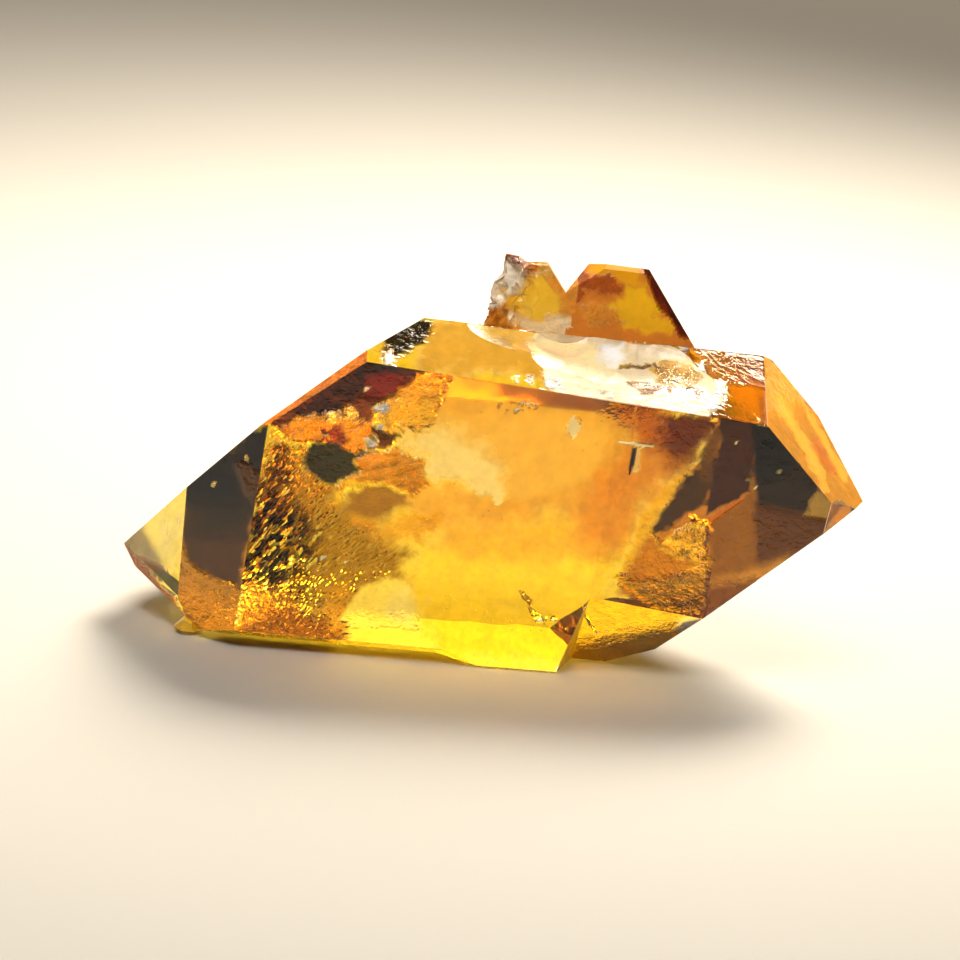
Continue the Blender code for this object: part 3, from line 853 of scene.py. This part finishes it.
def inside(outline, x, z):
    """Distance from (x, z) to the outline's edge in mm: positive inside it, negative outside."""
    near, within = 1e9, False
    for (x1, z1), (x2, z2) in zip(outline, outline[1:] + outline[:1]):
        ex, ez = x2 - x1, z2 - z1
        t = min(1.0, max(0.0, ((x - x1) * ex + (z - z1) * ez) / (ex * ex + ez * ez)))
        near = min(near, math.hypot(x - x1 - t * ex, z - z1 - t * ez))
        if (z1 > z) != (z2 > z) and x < x1 + (z - z1) * ex / ez:
            within = not within
    return near if within else -near


def ragged(p, size, reach):
    """The point pushed about in x and z by fractal noise, so that outlines get natural edges."""
    q = p / size
    dx = noise.fractal(q, *RAG_KIND)
    dz = noise.fractal(q + ANOTHER_NOISE, *RAG_KIND)
    return p.x + reach * dx, p.z + reach * dz


def paint_at(facet, p):
    """The tint and the finish of the skin at one point of a facet."""
    base = Vector((*CLEAR[:3], 0.0, 0.0, 0.0))
    for paint, strength, soft, rag, outline, low, high in ZONES.get(facet, ()):
        x, z = ragged(p, RAG_SIZE, rag)
        edge = soft[1] + (soft[0] - soft[1]) * share(z, low.y, high.y)
        if low.x - edge < x < high.x + edge and low.y - edge < z < high.y + edge:
            base = base.lerp(paint, strength * share(inside(outline, x, z), -edge / 2, edge / 2))
    for kind, x, z, radius in CHIP_GLINTS:
        if kind == facet and abs(p.x - x) < 1.5 * radius:
            far = math.hypot(p.x - x, p.z - z) / radius + NICK_RAG * noise.noise(p * 4.0)
            base = base.lerp(CHIP_GLINT_PAINT, share(far, *NICK_EDGE))
    power = 2.0 - base[3]
    return (base[0] ** power, base[1] ** power, base[2] ** power, base[3]), (base[4], base[5], 0.0, 1.0)


print("one clear point:", [round(c, 2) for c in paint_at("back", Vector((0.0, 10.0, 0.0)))[0]])

# %% [markdown]
# ## Colour layers and sharp edges
# Two colour layers hold the paint: the tint with the frost in its fourth number, and the fine relief.
# They sit on face corners and not on points, because two facets that meet may have quite different
# colours. Faces are shaded smooth, and edges between facets are marked sharp.

# %% Paint the skin
SHARP = math.radians(30.0)
tints = work.loops.layers.float_color.new("tint")
grains = work.loops.layers.float_color.new("grain")
known = {}
work.verts.index_update()
for f in work.faces:
    f.smooth = True
    name = labels[f.index]
    for corner in f.loops:
        spot = (name, corner.vert.index)
        if spot not in known:
            known[spot] = paint_at(name, corner.vert.co)
        corner[tints], corner[grains] = known[spot]
for e in work.edges:
    same = len({labels[f.index] for f in e.link_faces}) == 1
    e.smooth = same and e.calc_face_angle(0.0) < SHARP
skin = bpy.data.meshes.new("crystal_skin")
work.transform(TO_WORLD)
work.to_mesh(skin)
work.free()
print("skin:", len(skin.polygons), "faces,", len(known), "points painted")

# %% [markdown]
# ## Citrine
# The real stone is clear silicon dioxide. Light bends in it with an index of 1.544 to 1.553, which
# gives the eye its cool, glassy sparkle, and growth leaves its faces mirror smooth. All nodes are
# added by one small function: it takes the settings of the node and what is plugged into it.

# %% Nodes and the crystal's place
def add(material, kind, settings=None, links=None):
    """One node: settings are values by socket name or attribute, links are (socket, source)."""
    node = material.node_tree.nodes.new(kind)
    for name, value in (settings or {}).items():
        if isinstance(name, str) and hasattr(node, name) and name not in node.inputs:
            setattr(node, name, value)
        else:
            node.inputs[name].default_value = value
    for name, source in (links or {}).items():
        material.node_tree.links.new(source, node.inputs[name])
    return node


def empty_material(name):
    """A material with no nodes yet."""
    material = bpy.data.materials.new(name)
    material.use_nodes = True
    material.node_tree.nodes.clear()
    return material


citrine = empty_material("citrine")
table_place = add(citrine, "ShaderNodeTexCoord").outputs["Object"]
here = add(citrine, "ShaderNodeMapping",
           {"vector_type": "TEXTURE", "Location": HEART * MM, "Rotation": (0.0, LEAN, 0.0),
            "Scale": (MM, MM, MM)}, {"Vector": table_place}).outputs["Vector"]
tint = add(citrine, "ShaderNodeAttribute", {"attribute_name": "tint"})
grain = add(citrine, "ShaderNodeAttribute", {"attribute_name": "grain"}).outputs["Color"]
grain = add(citrine, "ShaderNodeSeparateColor", {}, {"Color": grain})
pelt, crease = grain.outputs["Red"], grain.outputs["Green"]
print("nodes so far:", len(citrine.node_tree.nodes))

# %% [markdown]
# ## Etched hillocks
# The real hillocks are narrow, lean over to the right and are about half a millimetre long. A Voronoi
# pattern gives one cell for each hillock, on axes that are tilted and squeezed to that shape, and a
# little noise sways the rows. The distance to the middle of a cell is the height of its hillock. The
# pattern drives bump only: hundreds of thousands of tiny faces would bring nothing more to the eye.

# %% Hillock pattern
HILLOCK = (0.23, 0.64, 0.58)
HILLOCK_HEIGHT = 0.25
HILLOCK_LEAN = math.radians(32.0)
leaning = add(citrine, "ShaderNodeMapping",
              {"vector_type": "TEXTURE", "Rotation": (0.0, HILLOCK_LEAN, 0.0), "Scale": HILLOCK},
              {"Vector": here}).outputs["Vector"]
sway = add(citrine, "ShaderNodeTexNoise", {"Scale": 0.32, "Detail": 2.0}, {"Vector": leaning})
swayed = add(citrine, "ShaderNodeVectorMath", {"operation": "MULTIPLY_ADD", 1: (0.84, 0.84, 0.84)},
             {0: sway.outputs["Color"], 2: leaning}).outputs["Vector"]
cells = add(citrine, "ShaderNodeTexVoronoi", {"feature": "F1", "Scale": 1.0}, {"Vector": swayed})
hills = add(citrine, "ShaderNodeMath", {"operation": "MULTIPLY"}, {0: cells.outputs["Distance"], 1: pelt})
bump = add(citrine, "ShaderNodeBump", {"Strength": 1.0, "Distance": HILLOCK_HEIGHT * MM},
           {"Height": hills.outputs[0]})
print("a hillock is", HILLOCK[0], "by", HILLOCK[2], "mm")

# %% [markdown]
# ## Crinkled breaks
# A rough break in quartz is made of lumps about a millimetre across with finer ones on them. Fractal
# noise is the right shape for that. It is multiplied by the crinkle that each zone asked for.

# %% Crinkle
LUMP = 0.8
LUMP_HEIGHT = 0.8
lumps = add(citrine, "ShaderNodeTexNoise", {"Scale": 1.0 / LUMP, "Detail": 4.0, "Roughness": 0.65},
            {"Vector": here}).outputs["Fac"]
crinkle = add(citrine, "ShaderNodeMath", {"operation": "MULTIPLY"}, {0: lumps, 1: crease}).outputs[0]
bump = add(citrine, "ShaderNodeBump", {"Strength": 0.8, "Distance": LUMP_HEIGHT * MM},
           {"Height": crinkle, "Normal": bump.outputs["Normal"]})
print("lumps of", LUMP, "mm")

# %% [markdown]
# ## Streaks in the breaks
# Look closely at a break and you see more than lumps: thin dark and bright streaks lie side by side,
# where the light slips between the steps of the break. Noise that is stretched along the crystal
# gives them, and they darken the tint only where the skin is crinkled.

# %% Streaks
STREAK = (1.5, 0.9, 0.5)
STREAK_LEAN = math.radians(-20.0)
stretched = add(citrine, "ShaderNodeMapping",
                {"vector_type": "TEXTURE", "Rotation": (0.0, STREAK_LEAN, 0.0), "Scale": STREAK},
                {"Vector": here}).outputs["Vector"]
streaks = add(citrine, "ShaderNodeTexNoise", {"Scale": 1.0, "Detail": 6.0, "Roughness": 0.75},
              {"Vector": stretched}).outputs["Fac"]
streaks = add(citrine, "ShaderNodeMapRange",
              {"From Min": 0.38, "From Max": 0.56, "To Min": 0.12, "To Max": 1.0}, {"Value": streaks})
streaked = add(citrine, "ShaderNodeMix", {"data_type": "RGBA", "blend_type": "MULTIPLY"},
               {0: crease, 6: tint.outputs["Color"], 7: streaks.outputs[0]}).outputs[2]
print("streaks of", STREAK[0], "by", STREAK[2], "mm")

# %% [markdown]
# ## Every hillock has its own painted reflection
# Each etched hillock acts as a tiny lens that shows another bit of the surroundings, so neighbours
# can be blue-black, brown or white. Bump alone gives this only weakly, so these reflections and glints
# are painted: the random number that Voronoi gives to each cell picks one of six tones, in the places
# where a zone is fully hilly.

# %% Hillock tones
PAINTED_LENS_TONES = ((0.0, "#0C0E1A"), (0.34, "#33292C"), (0.54, "#8A5A2C"), (0.66, "#8C8478"), (0.78, "#E0BC84"),
         (0.88, "#FFFFFF"))
pick = add(citrine, "ShaderNodeSeparateColor", {}, {"Color": cells.outputs["Color"]}).outputs["Red"]
speck = add(citrine, "ShaderNodeValToRGB", {}, {"Fac": pick})
speck.color_ramp.interpolation = "CONSTANT"
speck.color_ramp.elements.remove(speck.color_ramp.elements[1])
for place, code in PAINTED_LENS_TONES:
    stop = speck.color_ramp.elements[0] if place == 0.0 else speck.color_ramp.elements.new(place)
    stop.position, stop.color = place, [part ** 2 for part in colour(code)]
deep = add(citrine, "ShaderNodeMapRange", {"From Min": 0.7, "From Max": 1.0, "To Max": 0.75},
           {"Value": pelt})
lens_painted = add(citrine, "ShaderNodeMix", {"data_type": "RGBA"},
               {0: deep.outputs[0], 6: streaked, 7: speck.outputs["Color"]}).outputs[2]
print(len(PAINTED_LENS_TONES), "tones")

# %% [markdown]
# ## Faint clouds and frost
# Even the clearest zone has wisps in it, from half a millimetre to a few millimetres long. They
# darken the clear skin a little and leave frosted skin alone, because there the white has to stay
# white. The frost itself does two things: it takes away transmission, and it makes the skin rough.

# %% Wisps and frost
WISP = 1.25
wisps = add(citrine, "ShaderNodeTexNoise", {"Scale": 1.0 / WISP, "Detail": 8.0, "Roughness": 0.75},
            {"Vector": here}).outputs["Fac"]
wisps = add(citrine, "ShaderNodeMapRange",
            {"From Min": 0.35, "From Max": 0.62, "To Min": 0.62, "To Max": 1.0}, {"Value": wisps})
frost = tint.outputs["Alpha"]
clear = add(citrine, "ShaderNodeMath", {"operation": "SUBTRACT", 0: 1.0}, {1: frost}).outputs[0]
mottled = add(citrine, "ShaderNodeMix", {"data_type": "RGBA", "blend_type": "MULTIPLY"},
              {0: clear, 6: lens_painted, 7: wisps.outputs[0]}).outputs[2]
rough = add(citrine, "ShaderNodeMath", {"operation": "MULTIPLY", 1: 0.5}, {0: frost}).outputs[0]
print("wisps of", WISP, "mm")

# %% [markdown]
# ## The shader and the depth of colour
# The surface is a Principled shader with transmission and the index of quartz. The yellow itself is in
# the volume: iron takes the blue out of the light a little more with every millimetre, so thin parts
# are pale and thick parts are deep yellow. The density is per metre, and the colour is what it keeps.

# %% Citrine's shader
QUARTZ_IOR = 1.55
IRON_KEEPS = (0.993, 0.9, 0.0, 1.0)
IRON_DENSITY = 150.0
surface = add(citrine, "ShaderNodeBsdfPrincipled", {"IOR": QUARTZ_IOR},
              {"Base Color": mottled, "Transmission Weight": clear, "Roughness": rough,
               "Normal": bump.outputs["Normal"]})
iron = add(citrine, "ShaderNodeVolumeAbsorption", {"Color": IRON_KEEPS, "Density": IRON_DENSITY})
add(citrine, "ShaderNodeOutputMaterial", {},
    {"Surface": surface.outputs["BSDF"], "Volume": iron.outputs["Volume"]})
skin.materials.append(citrine)
print("citrine has", len(citrine.node_tree.nodes), "nodes")

# %% [markdown]
# ## Put the skin in the solid's place
# The dressed skin stands for the plain solid of the same crystal, and moves with it.

# %% The crystal's body
crystal = bpy.data.objects.new("crystal_body", skin)
bpy.context.scene.collection.objects.link(crystal)
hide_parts("citrine_crystal")
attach(crystal, "root")
print("crystal body:", [round(1000 * s, 1) for s in crystal.dimensions], "mm")

# %% [markdown]
# ## Gas and dark mineral
# Two more materials are needed for what is trapped inside. Gas bends light the other way round: seen
# from quartz its index is 1 / 1.55, so that a crack or a bubble flashes like a mirror. The tube is
# filled with a dark brown iron oxide, dull and earthy, which the eye reads as a hole in the glow.

# %% Gas film and dark tube


def plain(name, code, rough, extra=None):
    """A single-colour material for one kind of inclusion."""
    material = empty_material(name)
    shader = add(material, "ShaderNodeBsdfPrincipled",
                 {"Base Color": colour(code), "Roughness": rough, **(extra or {})})
    add(material, "ShaderNodeOutputMaterial", {}, {"Surface": shader.outputs["BSDF"]})
    return material


gas_film = plain("gas_film", "#FFFFFF", 0.0, {"IOR": 1.0 / QUARTZ_IOR, "Transmission Weight": 1.0})
dark_tube = plain("dark_tube", "#2A1206", 0.4)
print("index of gas seen from quartz:", round(1.0 / QUARTZ_IOR, 3))

# %% [markdown]
# ## The dark tube
# The tube that hangs from the needle is a rod that tapers to both ends, made of two cones. One helper
# sets any finished inclusion inside the crystal, since all of them are built in the same way.

# %% Tube


def ride(name, build, material):
    """Sets a finished bmesh, made in the crystal's millimetres, inside the crystal."""
    mesh = bpy.data.meshes.new(name)
    build.transform(TO_WORLD)
    build.to_mesh(mesh)
    build.free()
    mesh.materials.append(material)
    piece = bpy.data.objects.new(name, mesh)
    bpy.context.scene.collection.objects.link(piece)
    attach(piece, "root")
    print(name, "has", len(mesh.polygons), "faces")
    return piece


def spindle(build, start, end, radius, sides=6):
    """A thin rod that tapers to both ends."""
    start, end = Vector(start), Vector(end)
    along = end - start
    turn = along.to_track_quat("Z", "Y").to_matrix().to_4x4()
    rise = Matrix.Translation((0.0, 0.0, along.length / 4))
    for angle in (0.0, math.pi):
        place = Matrix.Translation((start + end) / 2) @ turn @ Matrix.Rotation(angle, 4, "X") @ rise
        bmesh.ops.create_cone(build, cap_ends=True, segments=sides, radius1=radius, radius2=radius * 0.25,
                              depth=along.length / 2, matrix=place)


build = bmesh.new()
spindle(build, (9.85, -8.4, 7.1), (9.7, -8.2, 4.7), 0.22)
ride("tube", build, dark_tube)

# %% [markdown]
# ## Gas bubbles
# Pinprick bubbles float in loose swarms: a dense one under the shoulder, a thin one all through the
# middle, one low down and one in the right end. Each swarm is a centre, a spread, a number and a size
# in millimetres, and a random draw with a fixed seed places the bubbles the same way every time.

# %% Bubbles
SWARMS = (
    ((-0.4, -8.6, 9.6), (1.0, 0.2, 0.45), 14, 0.13),
    ((0.0, -6.0, 5.0), (9.0, 2.5, 3.5), 90, 0.06),
    ((4.6, -7.0, -8.6), (6.0, 1.5, 0.7), 40, 0.07),
    ((19.0, -7.0, 3.0), (4.0, 1.8, 4.0), 60, 0.05),
)
FARTHEST = 1.6
np.random.seed(7)
build = bmesh.new()
for centre, spread, number, size in SWARMS:
    for _ in range(number):
        place = [c + s * min(FARTHEST, max(-FARTHEST, np.random.normal())) for c, s in zip(centre, spread)]
        bmesh.ops.create_icosphere(build, subdivisions=2, radius=size * (0.5 + np.random.random()),
                                   matrix=Matrix.Translation(place))
for f in build.faces:
    f.smooth = True
ride("gas_bubbles", build, gas_film)

# %% [markdown]
# ## Healed cracks
# Thin films of gas lie in old cracks and flash like mirrors. Each is a small crumpled sheet with a
# ragged round outline, 0.03 mm thick. A grid is cut to the outline, crumpled by noise, and given its
# thickness at the end, so that it is a closed body like everything else here.

# %% One crack
CRACK_GRID = 22
CRACK_EDGE = 0.95
CRACK_RAG = 0.35
CRACK_WIDTH = 0.03


def crack(build, middle, along, across, size, crumple, seed):
    """A thin gas film with a ragged crumpled outline, set by two directions."""
    middle, along, across = Vector(middle), Vector(along).normalized(), Vector(across).normalized()
    across = (across - along * across.dot(along)).normalized()
    normal = along.cross(across)
    part = bmesh.new()
    bmesh.ops.create_grid(part, x_segments=CRACK_GRID, y_segments=CRACK_GRID, size=1.0)
    doomed = []
    for v in part.verts:
        u, w = v.co.x, v.co.y
        edge = math.hypot(u, w) + CRACK_RAG * noise.noise(Vector((u * 2.2, w * 2.2, seed)))
        if edge > CRACK_EDGE:
            doomed.append(v)
        lift = crumple * noise.fractal(Vector((u * 2.0, w * 2.0, seed + 9.0)), 0.7, 2.0, 3)
        v.co = middle + along * (u * size[0]) + across * (w * size[1]) + normal * lift
    bmesh.ops.delete(part, geom=doomed, context="VERTS")
    bmesh.ops.solidify(part, geom=part.faces[:], thickness=CRACK_WIDTH)
    bmesh.ops.recalc_face_normals(part, faces=part.faces)
    for f in part.faces:
        f.smooth = True
    sheet = bpy.data.meshes.new("sheet")
    part.to_mesh(sheet)
    part.free()
    build.from_mesh(sheet)
    bpy.data.meshes.remove(sheet)


print("a crack is made from its middle, two directions, its size and its crumple in mm")

# %% [markdown]
# ## Where the cracks lie
# Two fly low in the yellow glow, one stands beside the needle, three form the stepped break at the
# right, and three lie under the dark corner.

# %% Place the cracks
CRACKS = (
    ((3.5, -7.4, -7.6), (0.5, 0.1, -0.6), (0.2, 1.0, 0.1), (1.8, 0.7), 0.30),
    ((8.6, -7.3, -8.3), (0.5, 0.1, -0.75), (0.2, 1.0, 0.0), (1.7, 0.8), 0.25),
    ((4.6, -8.1, 8.2), (0.3, 0.0, 1.0), (1.0, 0.3, -0.2), (1.0, 0.5), 0.08),
    ((15.3, -7.3, -1.2), (1.0, 0.2, -0.25), (0.1, 1.0, -0.1), (2.3, 0.9), 0.22),
    ((16.4, -7.0, 1.2), (0.7, 0.3, -0.3), (0.1, 1.0, 0.3), (1.6, 0.9), 0.25),
    ((15.8, -7.2, -3.4), (1.0, 0.3, 0.2), (0.1, 1.0, -0.2), (2.2, 1.0), 0.25),
    ((-11.3, -8.0, 6.9), (0.1, 0.2, 1.0), (1.0, 0.4, 0.1), (1.4, 0.6), 0.25),
    ((-11.0, -7.6, 12.0), (0.6, 0.2, 0.5), (0.2, 1.0, -0.1), (1.2, 0.5), 0.20),
    ((-15.0, -7.0, 6.6), (1.0, 0.2, 0.1), (0.1, 1.0, 0.3), (2.6, 1.2), 0.25),
)
build = bmesh.new()
for number, (place, along, across, size, crumple) in enumerate(CRACKS):
    crack(build, place, along, across, size, crumple, 3.0 * number)
ride("gas_cracks", build, gas_film)

# %% [markdown]
# ## The table
# A clear stone shows its surroundings, so the floor is part of its looks. It is a sheet of pale grey
# paper, large enough to reach past every view. Matt paper scatters light evenly, so that it takes the
# stone's shadow and its yellow glow and gives no mirror image.

# %% Pale paper floor
PAPER_WIDTH = 6.0
PAPER_DROP = 0.2
paper = empty_material("pale_paper")
shader = add(paper, "ShaderNodeBsdfPrincipled", {"Base Color": colour("#9C9890"), "Roughness": 0.8})
add(paper, "ShaderNodeOutputMaterial", {}, {"Surface": shader.outputs["BSDF"]})
bpy.ops.mesh.primitive_plane_add(size=PAPER_WIDTH)
floor = bpy.context.active_object
floor.name = "floor"
floor.location.z = -PAPER_DROP * MM
floor.data.materials.append(paper)
floor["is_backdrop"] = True
print("floor:", floor.dimensions.x, "m wide")

# %% [markdown]
# ## Soft light
# Three soft boxes light the stone. The key hangs high in front, where the flat facets send its mirror
# image away from the eye. The second stands at the back right and throws a pool of light on the paper
# just behind the crystal, and that is what makes the stone glow from within. A long low box far behind
# fills the lowest part of the front facet, which by total reflection looks up and back.

# %% Soft boxes


def soft_light(name, size, place, target, power, code, spread=180.0):
    """A rectangular soft box: size and place in metres, power in watts, spread in degrees."""
    lamp = bpy.data.lights.new(name, "AREA")
    lamp.shape = "RECTANGLE"
    lamp.size, lamp.size_y = size
    lamp.energy = power
    lamp.spread = math.radians(spread)
    lamp.color = colour(code)[:3]
    holder = bpy.data.objects.new(name, lamp)
    holder.location = place
    holder.rotation_euler = (Vector(target) - Vector(place)).to_track_quat("-Z", "Y").to_euler()
    bpy.context.scene.collection.objects.link(holder)
    print(name, "box:", power, "W")


MIDDLE = (0.0, 0.0, 0.015)
soft_light("key", (0.4, 0.3), (-0.10, -0.30, 0.62), MIDDLE, 4.6, "#FFFAF4")
soft_light("back", (0.16, 0.20), (0.11, 0.22, 0.24), (0.0, 0.06, 0.0), 0.68, "#FFF4E2", 60.0)
soft_light("low_back", (1.0, 0.24), (0.12, 0.70, 0.15), MIDDLE, 1.8, "#FFE0B4")

# %% [markdown]
# ## Room light
# A little grey light comes from everywhere, as in a room with pale walls.

# %% World
ROOM_LIGHT = 0.36
world = bpy.data.worlds.new("studio")
bpy.context.scene.world = world
world.use_nodes = True
world.node_tree.nodes["Background"].inputs["Color"].default_value = colour("#8A8A8C")
world.node_tree.nodes["Background"].inputs["Strength"].default_value = ROOM_LIGHT
print("room light:", ROOM_LIGHT)

# %% [markdown]
# ## The camera
# Small stones are best seen through a long lens from some way off, so that parallel edges stay parallel.
# The camera stands 45 cm away and looks a little down on the front facet. Its place and its two
# directions were fitted together with the facets, outside this script. The plain view transform keeps
# the yellows as strong as they are in the stone.

# %% Camera
EYE = Vector((-60.1, -424.1, 132.5)) * MM
LOOK = Vector((0.1327, 0.9541, -0.2684))
HEAD = Vector((-0.0777, 0.2799, 0.9569))
FOCAL_LENGTH = 200.0
SENSOR = 36.0
forward = LOOK.normalized()
right = forward.cross(HEAD).normalized()
up = right.cross(forward)
lens = bpy.data.cameras.new("camera")
lens.lens = FOCAL_LENGTH
lens.sensor_width = SENSOR
camera = bpy.data.objects.new("camera", lens)
camera.matrix_world = Matrix.Translation(EYE) @ Matrix((right, up, -forward)).transposed().to_4x4()
bpy.context.scene.collection.objects.link(camera)
bpy.context.scene.camera = camera
bpy.context.scene.view_settings.view_transform = "Standard"
print("camera:", round(EYE.length, 2), "m from the stone")

# %% [markdown]
# ## Sizes, and done
# The box of the dressed crystal is printed.

# %% Finish
low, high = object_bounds()
print("dressed:", [round(1000 * s, 1) for s in high - low], "mm")
